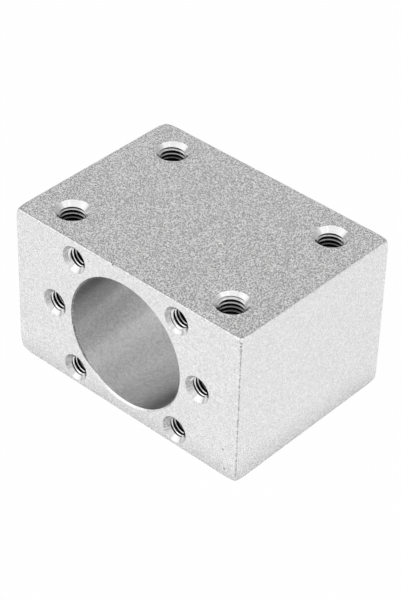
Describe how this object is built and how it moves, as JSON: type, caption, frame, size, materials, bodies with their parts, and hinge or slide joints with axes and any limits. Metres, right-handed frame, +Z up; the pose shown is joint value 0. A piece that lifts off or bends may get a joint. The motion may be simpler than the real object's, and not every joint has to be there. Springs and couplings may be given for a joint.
{
  "type": "ball screw nut housing",
  "caption": "Rectangular machined aluminium block with a through bore for a flanged ball nut, tapped flange screw holes round the bore and tapped table screw holes in the top.",
  "frame": {"origin": "centre of the block's underside", "axes": "+X across the front face, -Y out of the flange face along the ball screw, +Z up out of the table mounting face"},
  "size_m": [0.0494, 0.036, 0.0295],
  "materials": {
    "blasted_aluminium": "bead blasted and clear anodised, with bright machined countersinks, threads and bore chamfers"
  },
  "bodies": {
    "root": {"housing": "blasted_aluminium"}
  },
  "joints": []
}
